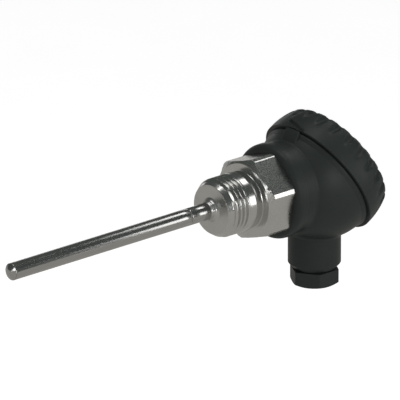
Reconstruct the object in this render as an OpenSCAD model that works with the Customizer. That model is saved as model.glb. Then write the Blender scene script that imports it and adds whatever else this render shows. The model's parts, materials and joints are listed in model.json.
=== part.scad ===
// Resistance thermometer with a screw-in process fitting and a small connection head.
// The probe axis is X, from the tip (negative) to the head (positive). The cable gland points down.
// The origin lies on the probe axis, at the sealing shoulder of the hexagon.

/* [Probe] */
// Insertion length, from the shoulder to the end of the tip
probe_length = 107.5; // [60:0.5:250]
// Outside diameter of the sheath tube
tube_d = 6; // [5:0.5:8]
// Wall of the sheath tube
tube_wall = 0.5; // [0.4:0.1:0.8]
// Height of the welded, domed tip
tip_dome = 1.2; // [0.8:0.1:2]
// Length of the tip's plug inside the tube
tip_plug = 2; // [1:0.5:4]
// Length of the weld fillet along the tube
weld_length = 2.6; // [1.5:0.1:3.5]
// Height of the weld fillet on the fitting's end face
weld_height = 1.4; // [0.8:0.1:2]
// Depth to which the weld is fused into the tube's wall
weld_fusion = 0.2; // [0.1:0.05:0.25]
// Distance of the fine ring mark on the tube from the fitting's end face
mark_reach = 10.8; // [5:0.1:30]
// Width of the ring mark
mark_width = 0.2; // [0.1:0.05:0.5]
// Depth of the ring mark
mark_depth = 0.05; // [0.03:0.01:0.1]

/* [Measuring insert] */
// Length of the ceramic measuring element
element_length = 14; // [8:1:25]
// Diameter of the measuring element
element_d = 3.2; // [2:0.1:3.6]
// Free length of wire between the element and the insulator
element_gap = 2; // [1:0.5:4]
// Play of the four-hole ceramic insulator in the tube, on the diameter
insulator_play = 0.7; // [0.3:0.1:1]
// Diameter of the bare wires
wire_d = 0.5; // [0.3:0.05:0.6]
// Length of the resin plug that closes the tube
resin_length = 4; // [2:0.5:6]

/* [Process fitting] */
// Major diameter of the process thread
thread_d = 20.955; // [18:0.005:24]
// Length of thread and neck, from end face to shoulder
thread_length = 15; // [10:0.5:25]
// Length of the lead-in chamfer
thread_chamfer = 2.7; // [1:0.1:3.5]
// Diameter of the flat end face
thread_face_d = 17.6; // [14:0.1:18]
// Pitch of the process thread
thread_pitch = 1.814; // [1.2:0.001:2]
// Depth of the process thread
thread_depth = 1.162; // [0.6:0.001:1.3]
// Width of the thread's crests
thread_crest = 0.35; // [0.1:0.05:0.5]
// Length of the plain neck between thread and shoulder
thread_neck = 7.1; // [5:0.1:9]
// Width across flats of the hexagon
hex_af = 27; // [26:0.5:30]
// Length of the hexagon
hex_length = 10.7; // [7:0.1:14]
// Diameter of the round bar that the hexagon is milled from
hex_bar_d = 30.2; // [30:0.1:33]
// Diameter of the hexagon's flat shoulder face
hex_face_d = 25.6; // [24:0.1:26]
// Turn of the hexagon about the probe axis
hex_turn = 13; // [0:1:59]
// Thread diameter of the spigot that holds the head
spigot_d = 24; // [20:0.5:24]
// Length of the spigot
spigot_length = 9; // [7:0.5:9.5]
// Width of the sealing ring between fitting and head
gasket_width = 1.6; // [1:0.1:1.8]
// Thickness of the sealing ring between fitting and head
gasket_height = 1.5; // [1:0.1:2]
// Length of the wider bore at the back of the fitting
back_bore_length = 13; // [8:0.5:15]
// Diameter of the wider bore at the back of the fitting
back_bore_d = 12; // [10:0.5:14]

/* [Head] */
// Diameter of the collar against the hexagon
collar_d = 33.5; // [32:0.1:36]
// Width of the collar
collar_width = 4.2; // [3:0.1:6]
// Rounding of the collar's front edge
collar_round = 2.6; // [0.5:0.1:2.8]
// Diameter of the neck between collar and bowl
neck_d = 32.2; // [31:0.1:33]
// Distance from the hexagon to the centre of the bowl
bowl_reach = 23.7; // [22:0.1:28]
// Diameter of the round bowl
bowl_d = 43.4; // [42:0.1:46]
// Wall of the bowl
bowl_wall = 2.4; // [1.8:0.1:2.8]
// Tilt of the lid's axis up from the probe axis
lid_tilt = 29.4; // [20:0.1:35]
// Diameter of the lip under the lid
lip_d = 44.4; // [44:0.1:47]
// Height of the lip
lip_height = 1.3; // [0.8:0.1:2]
// Distance from the hexagon to the chamber's floor
floor_reach = 13.3; // [12:0.1:14]
// Outside diameter of the threaded ring under the lid
ring_d = 41.6; // [40:0.1:42]
// Wall of the threaded ring
ring_wall = 1.9; // [1.4:0.1:2.2]
// Height of the threaded ring
ring_height = 6; // [4:0.5:8]
// Width of the lug on top of the rim
lug_width = 7; // [4:0.5:10]
// Height of the lug along the lid's axis
lug_height = 4.4; // [2:0.2:6]
// Radial projection of the lug past the lip
lug_step = 1.3; // [0.5:0.1:1.6]

/* [Lid] */
// Diameter of the lid's rim
lid_d = 47; // [46:0.1:50]
// Diameter of the lid's top edge
lid_top_d = 42.6; // [41.4:0.1:44]
// Height at which the skirt starts to lean in
lid_straight = 2; // [1:0.1:4]
// Thickness of the lid's top
lid_top = 4; // [3:0.1:5]
// Rise of the domed top
lid_dome = 1.4; // [0.5:0.1:3]
// Number of finger scallops
scallops = 24; // [12:1:30]
// Diameter of each scallop
scallop_d = 3.4; // [2.4:0.1:4]
// Depth of the scallops in the top edge
scallop_depth = 1.9; // [1.4:0.1:2.2]
// Lean of the scallops towards the lid's axis
scallop_lean = 31; // [27:1:34]
// Gap between lip and lid
lid_gap = 0.4; // [0.2:0.05:0.8]
// Thickness of the lid's sealing ring
seal_height = 1.6; // [1:0.1:2.5]

/* [Cable gland] */
// Distance of the gland's axis from the bowl's centre, towards the probe
gland_back = 1.3; // [0:0.1:2]
// Diameter of the gland boss
boss_d = 18.4; // [17:0.1:20]
// Distance from the probe axis to the end of the boss
boss_reach = 32.2; // [30:0.1:38]
// Axial length of the boss's chamfer
boss_chamfer = 1.8; // [1:0.1:2.5]
// Diameter of the boss's end face
boss_end_d = 15.2; // [14.8:0.1:16]
// Diameter of the gland thread
gland_thread_d = 13.2; // [12.8:0.1:13.6]
// Length of the gland thread below the boss
gland_thread_length = 4; // [3:0.1:5]
// Diameter of the cable bore
cable_bore_d = 9; // [8:0.1:9.4]
// Diameter of the seat for the rubber seal
seat_d = 10.6; // [10.2:0.1:11]
// Bore of the rubber seal, which is the cable's size
cable_d = 6.2; // [4:0.1:7]
// Length of the rubber seal
gland_seal_length = 4.9; // [4:0.1:6]
// Thickness of the slip ring
slip_ring_height = 0.8; // [0.5:0.1:1.2]
// Width across flats of the gland nut
nut_af = 15.5; // [15:0.1:18]
// Thickness of the nut's end wall
nut_wall = 2; // [1.4:0.1:3]
// Cable opening of the nut
nut_bore_d = 9; // [8:0.1:9.5]

/* [Terminals] */
// Diameter of the ceramic terminal base
base_d = 29; // [28:0.5:30]
// Thickness of the ceramic terminal base
base_height = 6; // [5:0.5:7]
// Diameter of the base's middle hole
base_hole_d = 9.2; // [9:0.1:9.4]
// Distance of each terminal from the probe axis, along Y and Z
terminal_offset = 6.8; // [6.6:0.1:7]
// Width of the square terminal posts
post_width = 6; // [5.5:0.1:6]
// Height of the posts above the ceramic
post_height = 1; // [0.6:0.1:1.4]
// Depth of the posts in the ceramic
post_depth = 1.5; // [1:0.1:2]
// Thickness of the clamping saddles
saddle_height = 1; // [0.8:0.1:1.4]
// Shank diameter of the terminal screws
screw_d = 3; // [2.5:0.1:3]
// Head diameter of the terminal screws
screw_head_d = 5.4; // [4.5:0.1:5.6]
// Head height of the terminal screws
screw_head = 2; // [1.5:0.1:2.5]
// Distance of each fixing screw from the probe axis
fixing_offset = 11.5; // [11:0.1:11.6]
// Head diameter of the fixing screws
fixing_head_d = 4.4; // [4:0.1:4.6]
// Diameter of the insulated wires
lead_d = 1.2; // [1:0.05:1.3]
// Diameter of the wire end sleeves
ferrule_d = 0.9; // [0.7:0.05:1]
// Length of the wire end sleeves
ferrule_length = 6; // [4:0.5:6.5]

/* [Hidden] */
$fn = 96;

steel = [0.72, 0.71, 0.69];
plastic = [0.17, 0.18, 0.18];
brass = [0.80, 0.66, 0.36];
ceramic = [0.90, 0.88, 0.82];
rubber = [0.09, 0.09, 0.09];

// Clearances on the radius: a snug fit and a running fit
slip = 0.03;
running = 0.05;
// Play of the sealing ring round the spigot, on the diameter
gasket_play = 0.4;
// Overlap that joins or parts two shapes cleanly
eps = 0.01;
// How far a cut runs past the face that it opens
past = 1;

tip_edge = -probe_length + tip_dome;
// How far the tube ends inside the hexagon's back face
tube_inset = 2;
tube_end = hex_length - tube_inset;
tube_bore = tube_d / 2 - tube_wall;
// Gap between the tip's plug and the measuring element
element_room = 1;
element_start = tip_edge + tip_plug + element_room;
lead_edge = 0.45;
wire_offset = (tube_bore - lead_edge - lead_d / 2) / sqrt(2);
insulator_d = 2 * tube_bore - insulator_play;
insulator_start = element_start + element_length + element_gap;
resin_start = tube_end - resin_length;

spigot_end = hex_length + spigot_length;
// Gap between the spigot's end and the bottom of its socket in the head
spigot_gap = 0.3;
gasket_bore_d = spigot_d + gasket_play;
gasket_d = gasket_bore_d + 2 * gasket_width;

bowl_x = hex_length + bowl_reach;
floor_x = hex_length + floor_reach;
bowl_inner_d = bowl_d - 2 * bowl_wall;
ring_inner_d = ring_d - 2 * ring_wall;
lead_hole_d = base_hole_d;
// Length along the axis of the slope between the collar's back and the neck
collar_slope = 0.3;
// How far the lug and the cable bore reach past the bowl's inner wall
lug_overlap = 3.6;
cable_bore_overlap = 1.6;
lug_root = bowl_wall + lug_overlap;
cable_bore_root = bowl_wall + cable_bore_overlap;

// Gap between the threaded ring and the seal above it, and how far the seal stays inside the ring
seal_gap = 0.1;
seal_margin = 0.3;
ceiling = ring_height + seal_height + seal_gap;
lid_height = ceiling + lid_top;
lid_edge_round = 1;
// Stretch of the rounding that the lid's top edge shows, in degrees above the rim's plane
edge_start = 20;
edge_end = 80;
lid_thread_d = ring_d + 4 * running;
lid_cavity_d = ring_d - 2 * ring_wall - 1;
lid_relief = 1;

gland_x = bowl_x - gland_back;
thread_end = boss_reach + gland_thread_length;
slip_ring_gap = 0.1;
slip_ring_end = thread_end - slip_ring_gap;
seal_end = slip_ring_end - slip_ring_height - slip_ring_gap;
seat_start = seal_end - gland_seal_length;
nut_gap = 0.45;
nut_top = boss_reach + nut_gap;
nut_inner_end = thread_end + slip_ring_gap;
nut_end = nut_inner_end + nut_wall;
nut_chamfer = 1;

base_top = floor_x + base_height;
post_top = base_top + post_height;
// Play of the wire end sleeves between post and saddle, and beside the screw
ferrule_play = 0.02;
ferrule_side = 0.15;
saddle_bottom = post_top + ferrule_d + 2 * ferrule_play;
saddle_top = saddle_bottom + saddle_height;
// How far the terminal screws reach into the ceramic below the posts
screw_reach = 2.6;
screw_bottom = base_top - post_depth - screw_reach;
// How far the wire end sleeves stand out of the posts, towards the middle
ferrule_out = 0.7;
ferrule_x = post_top + ferrule_d / 2 + ferrule_play;
ferrule_z = terminal_offset - screw_d / 2 - ferrule_d / 2 - ferrule_side;
ferrule_y = terminal_offset - post_width / 2 - ferrule_out;
screw_slot_width = 0.8;
screw_slot_depth = 0.9;
// Play of the screws in the ceramic, on the diameter, and the gap under their ends
screw_play = 0.4;
screw_gap = 0.5;
fixing_d = 2.6;
fixing_depth = 2.6;
fixing_gap = 0.2;
fixing_head = 1.6;

// Signs of Y and Z for terminals 1 to 4, clockwise from the top as the open head is looked into
corners = [[1, 1], [-1, 1], [-1, -1], [1, -1]];

// Turns the children's Z axis onto the probe axis and moves them to x
module on_axis(x = 0) {
    translate([x, 0, 0])
        rotate([0, 90, 0])
            children();
}

// Turns the children's Z axis onto the lid's axis, at a height above the lip
module on_lid(height = 0) {
    translate([bowl_x, 0, 0])
        rotate([0, 90 - lid_tilt, 0])
            translate([0, 0, height])
                children();
}

// Turns the children's Z axis onto the gland's axis, pointing down, at a depth below the probe axis
module on_gland(depth = 0) {
    translate([gland_x, 0, -depth])
        rotate([180, 0, 0])
            children();
}

// Moves the children to the place of terminal i
module at_terminal(i) {
    translate([0, corners[i][0] * terminal_offset, corners[i][1] * terminal_offset])
        children();
}

// A plain ring along Z
module ring(outer_d, inner_d, height) {
    difference() {
        cylinder(d = outer_d, h = height);
        translate([0, 0, -past])
            cylinder(d = inner_d, h = height + 2 * past);
    }
}

// Points of an arc round a centre, from angle a to angle b
function arc(centre, radius, a, b, steps = 8) =
    [for (i = [0 : steps]) centre + radius * [cos(a + (b - a) * i / steps), sin(a + (b - a) * i / steps)]];

// Sheath: one drawn tube from the tip to the back of the fitting, with a fine ring mark turned into it
// and its wall melted away where the weld is fused in
module sheath_tube() {
    color(steel)
        difference() {
            on_axis(tip_edge)
                ring(tube_d, 2 * tube_bore, tube_end - tip_edge);
            on_axis(-thread_length - mark_reach - mark_width)
                ring(tube_d + past, tube_d - 2 * mark_depth, mark_width);
            on_axis(-thread_length - weld_length)
                ring(tube_d + past, tube_d - 2 * weld_fusion, weld_length);
        }
}

// Tip: a shallow dome on a short plug, turned in one
module tip_cap() {
    dome_radius = (tube_d * tube_d / 4 + tip_dome * tip_dome) / (2 * tip_dome);
    dome_angle = asin(tube_d / 2 / dome_radius);
    color(steel)
        on_axis(tip_edge)
            rotate_extrude()
                polygon(concat(
                    arc([0, dome_radius - tip_dome], dome_radius, -90, dome_angle - 90, 6),
                    [[tube_bore - slip, 0], [tube_bore - slip, tip_plug], [0, tip_plug]]));
}

// Weld: a hollow fillet between the tube and the fitting's end face, fused into the tube's wall
module sheath_weld() {
    root_r = tube_d / 2 - weld_fusion + eps;
    toe = weld_length - eps;
    fillet = [for (a = [0 : 11.25 : 90]) [tube_d / 2 + weld_height * (1 - sin(a)), -toe * (1 - cos(a))]];
    color(steel)
        on_axis(-thread_length)
            rotate_extrude()
                polygon(concat([[root_r, -toe], [root_r, 0]], fillet));
}

module sensing_element() {
    color(ceramic)
        on_axis(element_start)
            cylinder(d = element_d, h = element_length);
}

// Four holes parallel to the probe axis, in the corners of a square
module four_holes(hole_d, offset, height) {
    for (corner = corners)
        translate([-corner[1] * offset, corner[0] * offset, -past])
            cylinder(d = hole_d, h = height + 2 * past, $fn = 24);
}

module wire_insulator() {
    length = resin_start - insulator_start;
    color(ceramic)
        on_axis(insulator_start)
            difference() {
                cylinder(d = insulator_d, h = length);
                four_holes(wire_d + 0.2, wire_offset, length);
            }
}

// Bare wires from the element through the insulator to the resin plug
module sensor_wires() {
    start = element_start + element_length;
    color(brass)
        for (corner = corners)
            translate([0, corner[0] * wire_offset, corner[1] * wire_offset])
                on_axis(start)
                    cylinder(d = wire_d, h = resin_start - start, $fn = 24);
}

module resin_plug() {
    color(rubber)
        on_axis(resin_start)
            difference() {
                cylinder(r = tube_bore - slip, h = resin_length);
                four_holes(lead_d + 0.06, wire_offset, resin_length);
            }
}

// V grooves that stand for the turns of the process thread, one to each pitch, up to the plain neck
function thread_grooves() =
    let (
        crest_r = thread_d / 2,
        groove = thread_pitch - thread_crest,
        room = thread_length - thread_chamfer - thread_neck,
        turns = floor((room + thread_crest) / thread_pitch)
    )
    [for (i = [1 : turns])
        let (end = -thread_neck - (turns - i) * thread_pitch)
            each [[crest_r, end - groove], [crest_r - thread_depth, end - groove / 2], [crest_r, end]]];

// Turned outline of the fitting, as radius and distance from the shoulder
function fitting_outline() = concat(
    [[0, -thread_length], [thread_face_d / 2, -thread_length]],
    [[thread_d / 2, thread_chamfer - thread_length]],
    thread_grooves(),
    [[thread_d / 2, hex_length / 2], [spigot_d / 2, hex_length / 2]],
    [[spigot_d / 2, spigot_end], [0, spigot_end]]);

// Outline that turns the hexagon's corners off, with a chamfer to its front face
function hexagon_outline() =
    let (
        bar_r = hex_bar_d / 2,
        face_r = hex_face_d / 2
    )
    [[0, 0], [face_r, 0], [bar_r, (bar_r - face_r) * tan(30)], [bar_r, hex_length], [0, hex_length]];

// Fitting: turned from bar, with thread, hexagon and spigot in one piece
module process_fitting() {
    color(steel)
        on_axis()
            difference() {
                union() {
                    rotate_extrude()
                        polygon(fitting_outline());
                    intersection() {
                        rotate([0, 0, hex_turn])
                            cylinder(d = hex_af / cos(30), h = hex_length, $fn = 6);
                        rotate_extrude()
                            polygon(hexagon_outline());
                    }
                }
                translate([0, 0, -thread_length - past])
                    cylinder(d = tube_d + 2 * slip, h = thread_length + spigot_end + 2 * past);
                translate([0, 0, spigot_end - back_bore_length])
                    cylinder(d = back_bore_d, h = back_bore_length + past);
            }
}

module fitting_gasket() {
    color(rubber)
        on_axis(hex_length)
            ring(gasket_d, gasket_bore_d, gasket_height);
}

// Outline of collar and neck, as radius and distance from the hexagon
function collar_outline() = concat(
    [[0, 0], [collar_d / 2 - collar_round, 0]],
    arc([collar_d / 2 - collar_round, collar_round], collar_round, -90, 0),
    [[collar_d / 2, collar_width], [neck_d / 2, collar_width + collar_slope]],
    [[neck_d / 2, floor_reach], [0, floor_reach]]);

// Everything on the probe's side of the lip
module below_lip(size) {
    on_lid(-size)
        cylinder(d = 2 * size, h = size);
}

// Bowl with its lip and threaded ring, neck and collar, gland boss and lug, moulded in one
module head_outside() {
    on_axis(hex_length)
        rotate_extrude()
            polygon(collar_outline());
    intersection() {
        translate([bowl_x, 0, 0])
            sphere(d = bowl_d);
        below_lip(bowl_d);
    }
    on_lid(-lip_height)
        cylinder(d = lip_d, h = lip_height);
    on_lid(-eps)
        cylinder(d = ring_d, h = ring_height + eps);
    on_gland(0)
        cylinder(d = boss_d, h = boss_reach - boss_chamfer);
    on_gland(boss_reach - boss_chamfer)
        cylinder(d1 = boss_d, d2 = boss_end_d, h = boss_chamfer);
    on_gland(boss_reach - boss_chamfer)
        cylinder(d = gland_thread_d, h = thread_end - boss_reach + boss_chamfer);
    head_lug();
}

// Lug on the top of the rim, just under the lid
module head_lug() {
    intersection() {
        on_lid(-lug_height)
            translate([-lip_d / 2 - lug_step, -lug_width / 2, 0])
                cube([lug_step + lug_root, lug_width, lug_height]);
        on_lid(-lug_height)
            cylinder(d = lip_d + 2 * lug_step, h = lug_height);
    }
}

// Chamber behind the floor, open at the tilted ring
module head_chamber() {
    intersection() {
        union() {
            intersection() {
                translate([bowl_x, 0, 0])
                    sphere(d = bowl_inner_d);
                below_lip(bowl_d);
            }
            on_lid(-lip_height - past)
                cylinder(d = ring_inner_d, h = ring_height + lip_height + 2 * past);
        }
        translate([floor_x, -bowl_d, -bowl_d])
            cube([2 * bowl_d, 2 * bowl_d, 2 * bowl_d]);
    }
}

module head_body() {
    color(plastic)
        difference() {
            head_outside();
            head_chamber();
            on_axis(hex_length - past)
                cylinder(d = spigot_d + 2 * running, h = spigot_length + past + spigot_gap);
            on_axis(hex_length - past)
                cylinder(d = gasket_d + 2 * running, h = gasket_height + past);
            on_axis(hex_length)
                cylinder(d = lead_hole_d, h = floor_reach + past);
            on_gland(bowl_inner_d / 2 - cable_bore_root)
                cylinder(d = cable_bore_d, h = boss_reach);
            on_gland(seat_start)
                cylinder(d = seat_d, h = thread_end);
            for (side = [-1, 1])
                translate([0, side * fixing_offset, 0])
                    on_axis(floor_x - fixing_depth - fixing_gap)
                        cylinder(d = fixing_d + 2 * slip, h = fixing_depth + past, $fn = 32);
        }
}

module lid_seal() {
    color(rubber)
        on_lid(ring_height + seal_gap)
            ring(ring_d - seal_margin, ring_inner_d + seal_margin, seal_height - running);
}

// Half outline of the lid's outside, as radius and height above the lip
function lid_outline() =
    let (
        rim_r = lid_d / 2,
        top_r = lid_top_d / 2,
        lean = lid_height - lid_straight,
        inset = rim_r - top_r,
        bow_r = (lean * lean + inset * inset) / (2 * inset),
        dome_r = (top_r * top_r + lid_dome * lid_dome) / (2 * lid_dome),
        reach = asin((lean - lid_edge_round) / bow_r)
    )
    concat(
        [[0, lid_gap], [rim_r - 0.4, lid_gap], [rim_r, lid_gap + 0.4]],
        arc([rim_r - bow_r, lid_straight], bow_r, 0, reach, 5),
        arc([top_r - lid_edge_round, lid_height - lid_edge_round], lid_edge_round, edge_start, edge_end, 3),
        [for (i = [3 : -1 : 0]) [i / 4 * (top_r - lid_edge_round),
            lid_height + lid_dome - dome_r + sqrt(dome_r * dome_r - pow(i / 4 * top_r, 2))]]);

// Finger scallops: round grooves that lean towards the lid's axis and run out in the skirt
module lid_scallops() {
    groove_r = lid_top_d / 2 - scallop_depth + scallop_d / 2 / cos(scallop_lean);
    above = (lid_dome + past) / cos(scallop_lean);
    for (i = [0 : scallops - 1])
        rotate([0, 0, i * 360 / scallops])
            translate([groove_r, 0, lid_height])
                rotate([0, -scallop_lean, 0])
                    translate([0, 0, -lid_height])
                        cylinder(d = scallop_d, h = lid_height + above);
}

module head_lid() {
    color(plastic)
        on_lid()
            difference() {
                rotate_extrude()
                    polygon(lid_outline());
                cylinder(d = lid_thread_d, h = ceiling);
                cylinder(d = lid_cavity_d, h = ceiling + lid_relief);
                lid_scallops();
            }
}

// Ceramic base with pockets for the posts
module terminal_base() {
    color(ceramic)
        difference() {
            on_axis(floor_x)
                cylinder(d = base_d, h = base_height);
            on_axis(floor_x - past)
                cylinder(d = base_hole_d, h = base_height + 2 * past);
            for (i = [0 : 3])
                at_terminal(i) {
                    translate([base_top - post_depth, -post_width / 2 - slip, -post_width / 2 - slip])
                        cube([post_depth + past, post_width + 2 * slip, post_width + 2 * slip]);
                    on_axis(screw_bottom - screw_gap)
                        cylinder(d = screw_d + screw_play, h = base_height, $fn = 32);
                }
            for (side = [-1, 1])
                translate([0, side * fixing_offset, 0])
                    on_axis(floor_x - past)
                        cylinder(d = fixing_d + screw_play, h = base_height + 2 * past, $fn = 32);
        }
}

module terminal_posts() {
    color(brass)
        for (i = [0 : 3])
            at_terminal(i)
                difference() {
                    translate([base_top - post_depth, -post_width / 2, -post_width / 2])
                        cube([post_depth + post_height, post_width, post_width]);
                    on_axis(base_top - post_depth - past)
                        cylinder(
                            d = screw_d + 2 * running,
                            h = post_depth + post_height + 2 * past,
                            $fn = 48);
                }
}

// Square saddle under a terminal screw's head, which rises with the screw but does not turn
module clamp_saddle(i) {
    color(steel)
        at_terminal(i)
            difference() {
                translate([saddle_bottom, -post_width / 2, -post_width / 2])
                    cube([saddle_height, post_width, post_width]);
                on_axis(saddle_bottom - past)
                    cylinder(d = screw_d + 2 * running, h = saddle_height + 2 * past, $fn = 48);
            }
}

// Slotted cheese-head screw, with its head up the probe axis
module slotted_screw(seat, shank_d, shank_end, head_d, head_height) {
    difference() {
        union() {
            on_axis(shank_end)
                cylinder(d = shank_d, h = seat - shank_end + eps, $fn = 48);
            on_axis(seat)
                cylinder(d = head_d, h = head_height, $fn = 48);
        }
        translate([seat + head_height - screw_slot_depth, -head_d, -screw_slot_width / 2])
            cube([screw_slot_depth + past, 2 * head_d, screw_slot_width]);
    }
}

module terminal_screw(i) {
    color(brass)
        at_terminal(i)
            slotted_screw(saddle_top + slip, screw_d, screw_bottom, screw_head_d, screw_head);
}

module fixing_screws() {
    color(steel)
        for (side = [-1, 1])
            translate([0, side * fixing_offset, 0])
                slotted_screw(base_top, fixing_d, floor_x - fixing_depth, fixing_head_d, fixing_head);
}

// Centre line of one insulated wire, from the resin plug to its ferrule.
// It leaves the plug straight, clears the edge of the base's hole and runs straight into the ferrule.
lead_y = 1.4;
lead_play = 0.35;
lead_z = sqrt(pow(base_hole_d / 2 - lead_d / 2 - lead_play, 2) - lead_y * lead_y);
lead_route = [
    [resin_start + 0.02, wire_offset, wire_offset],
    [tube_end, wire_offset, wire_offset],
    [tube_end + 3, wire_offset, wire_offset],
    [floor_x - 3, 1.2, 1.6],
    [floor_x + 1, 1.3, 2.2],
    [base_top - 2, lead_y, lead_z - 0.4],
    [base_top + 0.2, lead_y, lead_z],
    [ferrule_x, ferrule_y - 1.2, ferrule_z],
    [ferrule_x, ferrule_y - 0.6, ferrule_z],
    [ferrule_x, ferrule_y, ferrule_z]];

// Point of a smooth curve through the route's points, at u from 0 to the last point
function route_point(route, u) =
    let (
        last = len(route) - 1,
        i = min(floor(u), last - 1),
        t = u - i,
        a = route[max(i - 1, 0)],
        b = route[i],
        c = route[i + 1],
        d = route[min(i + 2, last)]
    )
    0.5 * (2 * b + (c - a) * t + (2 * a - 5 * b + 4 * c - d) * t * t + (3 * b - a - 3 * c + d) * t * t * t);

function unit(v) = v / norm(v);

// Closed tube with eight sides along a route
module swept_tube(route, diameter, steps_each = 2) {
    sides = 8;
    rings = (len(route) - 1) * steps_each;
    centres = [for (i = [0 : rings]) route_point(route, i / steps_each)];
    points = [for (i = [0 : rings])
        let (
            t = unit(centres[min(i + 1, rings)] - centres[max(i - 1, 0)]),
            side = unit(cross(t, [0, 0, 1])),
            up = cross(side, t)
        )
        for (k = [0 : sides - 1])
            centres[i] + diameter / 2 * (cos(k * 360 / sides) * side + sin(k * 360 / sides) * up)];
    walls = [for (i = [0 : rings - 1], k = [0 : sides - 1])
        let (n = (k + 1) % sides)
        [i * sides + k, (i + 1) * sides + k, (i + 1) * sides + n, i * sides + n]];
    ends = [[for (k = [0 : sides - 1]) k], [for (k = [sides - 1 : -1 : 0]) rings * sides + k]];
    polyhedron(points = points, faces = concat(ends, walls), convexity = 4);
}

module connection_leads() {
    color("firebrick")
        for (corner = corners)
            scale([1, corner[0], corner[1]])
                swept_tube(lead_route, lead_d);
}

module wire_ferrules() {
    color(steel)
        for (corner = corners)
            scale([1, corner[0], corner[1]])
                translate([ferrule_x, ferrule_y + eps, ferrule_z])
                    rotate([-90, 0, 0])
                        cylinder(d = ferrule_d, h = ferrule_length, $fn = 24);
}

module gland_seal() {
    color(rubber)
        on_gland(seat_start)
            ring(seat_d - 0.1, cable_d, gland_seal_length);
}

module gland_slip_ring() {
    color(steel)
        on_gland(seal_end + slip_ring_gap)
            ring(seat_d - 2 * running, cable_d + 2, slip_ring_height);
}

// Hexagonal nut with a chamfered end wall
module gland_nut() {
    corner_r = nut_af / cos(30) / 2;
    height = nut_end - nut_top;
    color(plastic)
        on_gland(nut_top)
            difference() {
                intersection() {
                    cylinder(r = corner_r, h = height, $fn = 6);
                    rotate_extrude()
                        polygon([[0, 0], [corner_r, 0], [corner_r, height - nut_chamfer],
                            [corner_r - 2 * nut_chamfer, height], [0, height]]);
                }
                translate([0, 0, -past])
                    cylinder(d = gland_thread_d + 2 * running, h = nut_inner_end - nut_top + past);
                cylinder(d = nut_bore_d, h = height + past);
            }
}

sheath_tube();
tip_cap();
sheath_weld();
sensing_element();
wire_insulator();
sensor_wires();
resin_plug();
process_fitting();
fitting_gasket();
head_body();
lid_seal();
head_lid();
terminal_base();
terminal_posts();
fixing_screws();
connection_leads();
wire_ferrules();
clamp_saddle(0);  // clamp_saddle_1
clamp_saddle(1);  // clamp_saddle_2
clamp_saddle(2);  // clamp_saddle_3
clamp_saddle(3);  // clamp_saddle_4
terminal_screw(0);  // terminal_screw_1
terminal_screw(1);  // terminal_screw_2
terminal_screw(2);  // terminal_screw_3
terminal_screw(3);  // terminal_screw_4
gland_seal();
gland_slip_ring();
gland_nut();
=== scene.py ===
# %% [markdown]
# # A screw-in resistance thermometer
# A thin steel tube with a measuring resistor in its tip, a threaded fitting with a hexagon, and a small
# black connection head with a tilted screw lid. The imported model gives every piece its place. This
# lesson gives the visible pieces their fine form, and every piece its finish.

# %% Load the frame
import json
import math
import bmesh
import bpy
import numpy as np
from mathutils import Matrix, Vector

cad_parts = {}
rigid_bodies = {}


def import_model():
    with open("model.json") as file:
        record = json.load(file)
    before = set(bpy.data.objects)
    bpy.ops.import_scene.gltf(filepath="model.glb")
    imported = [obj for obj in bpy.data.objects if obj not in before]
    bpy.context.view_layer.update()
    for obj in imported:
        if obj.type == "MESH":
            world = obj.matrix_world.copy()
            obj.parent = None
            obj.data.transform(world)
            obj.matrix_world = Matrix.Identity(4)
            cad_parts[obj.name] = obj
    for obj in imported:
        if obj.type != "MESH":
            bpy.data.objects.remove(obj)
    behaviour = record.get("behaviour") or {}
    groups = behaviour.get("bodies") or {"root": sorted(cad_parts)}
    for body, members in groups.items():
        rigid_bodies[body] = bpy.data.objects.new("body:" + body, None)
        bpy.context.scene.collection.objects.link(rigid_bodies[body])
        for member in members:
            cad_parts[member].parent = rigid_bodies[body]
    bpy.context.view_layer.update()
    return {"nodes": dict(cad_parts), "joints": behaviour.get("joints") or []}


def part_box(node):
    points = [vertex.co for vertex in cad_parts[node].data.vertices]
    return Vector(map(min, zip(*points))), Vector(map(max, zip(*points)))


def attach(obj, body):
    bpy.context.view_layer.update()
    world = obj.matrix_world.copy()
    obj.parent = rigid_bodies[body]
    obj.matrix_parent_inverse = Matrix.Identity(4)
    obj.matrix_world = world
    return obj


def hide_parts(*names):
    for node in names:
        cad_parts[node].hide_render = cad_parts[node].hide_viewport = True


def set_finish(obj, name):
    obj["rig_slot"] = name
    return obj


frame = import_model()
MM = 0.001

# %% [markdown]
# ## Axes that the pieces are turned about
# A lathe part needs only an axis and an outline. Three axes carry this object: the probe's, the lid's
# and the gland's. Each is kept as an origin, a direction along it, and two directions across it. The
# lid's axis is read from the lid's own hinge, so it can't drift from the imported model.

# %% The three axes
joints = {joint["name"]: joint for joint in frame["joints"]}
lid_axis = np.array(joints["lid_turn"]["axis"], float)
lid_axis /= np.linalg.norm(lid_axis)
bowl_centre = np.array(joints["lid_turn"]["pos_m"], float) / MM
gland_centre = np.array(joints["gland_turn"]["pos_m"], float) / MM * [1, 1, 0]

PROBE = (np.zeros(3), np.array([1.0, 0, 0]), np.array([0, 0, 1.0]), np.array([0, -1.0, 0]))
LID = (bowl_centre, lid_axis, np.array([-lid_axis[2], 0, lid_axis[0]]), np.array([0, 1.0, 0]))
GLAND = (gland_centre, np.array([0, 0, -1.0]), np.array([1.0, 0, 0]), np.array([0, 1.0, 0]))


def spin(axis, along, radius, angle):
    """Point = origin + along * axis + radius * (cos(angle) * side + sin(angle) * other side)."""
    origin, forward, side, other = axis
    along, radius, angle = np.broadcast_arrays(along, radius, angle)
    return (origin + along[..., None] * forward
            + (radius * np.cos(angle))[..., None] * side
            + (radius * np.sin(angle))[..., None] * other)


def full_turn(count):
    """Angles of one turn in even steps, without the last one, which is the first again."""
    return np.linspace(0, 2 * np.pi, count, endpoint=False)[None, :]


print("lid tilt in degrees:", round(math.degrees(math.asin(lid_axis[2])), 2))

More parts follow.
